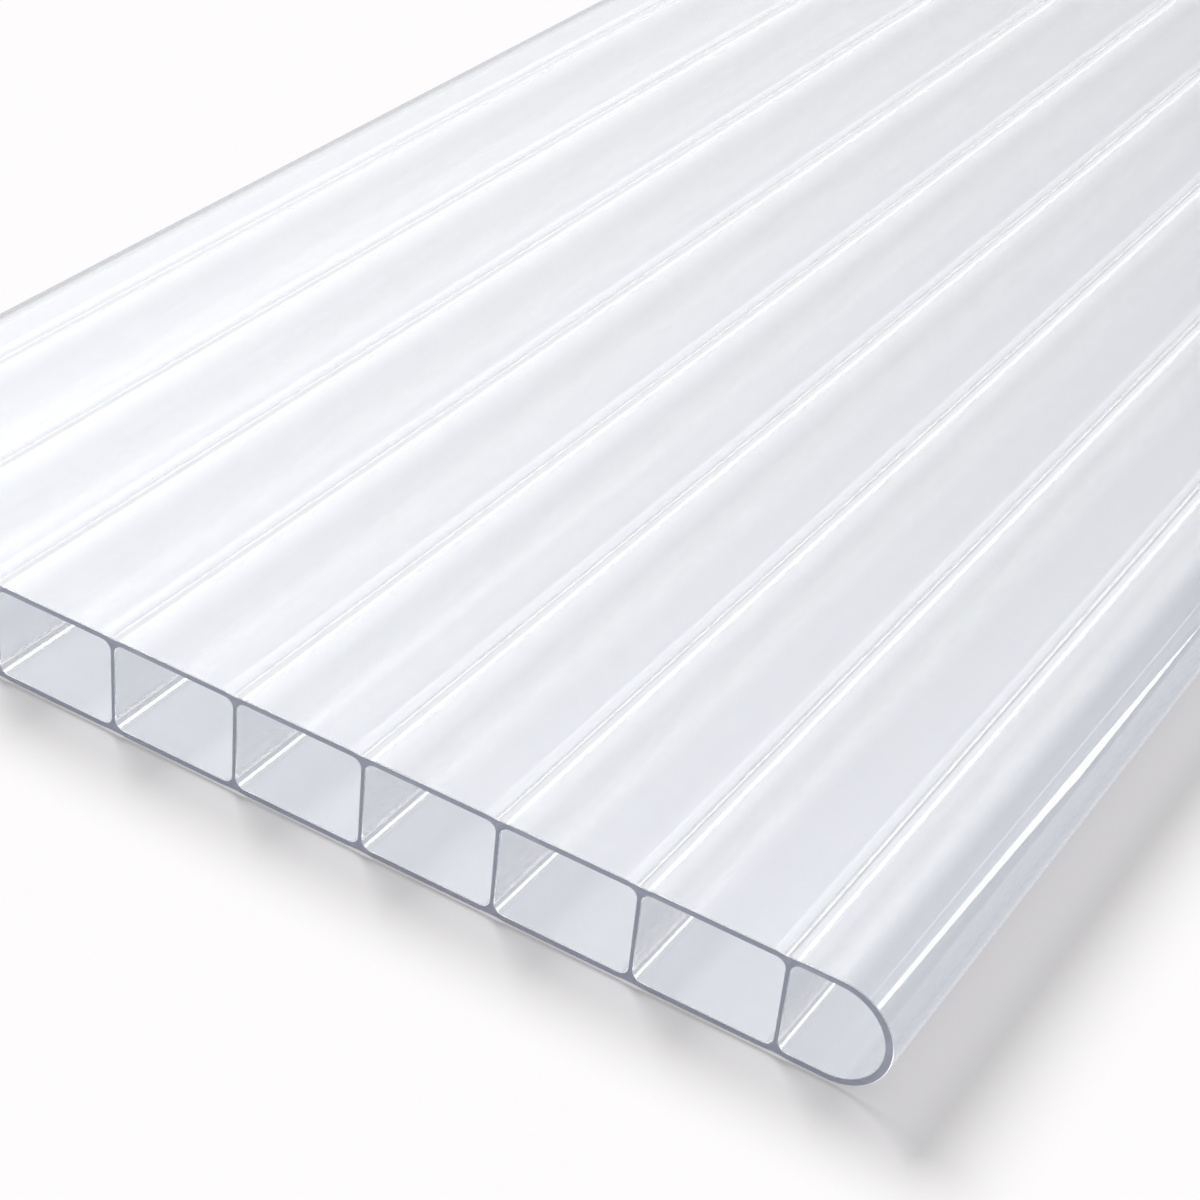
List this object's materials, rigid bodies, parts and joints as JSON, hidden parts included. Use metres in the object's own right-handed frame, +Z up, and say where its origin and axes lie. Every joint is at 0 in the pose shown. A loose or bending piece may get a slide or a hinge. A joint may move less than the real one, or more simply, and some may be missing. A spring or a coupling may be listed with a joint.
{
  "type": "multiwall polycarbonate sheet",
  "caption": "Clear twin-wall plastic glazing sheet: flat skins joined by upright webs, both long edges closed by a rounded nose and both ends sawn open.",
  "frame": {"origin": "middle of the underside, midway along the sheet and midway between its long edges", "axes": "+X across the webs towards the edge that the picture shows nearest, +Y along the extrusion away from the sawn end in view, +Z up through the thickness"},
  "size_m": [0.0992, 1, 0.008],
  "materials": {
    "clear_polycarbonate": "clear and glossy as extruded, with dull sawn ends"
  },
  "bodies": {
    "root": {"multiwall_sheet": "clear_polycarbonate"}
  },
  "joints": []
}
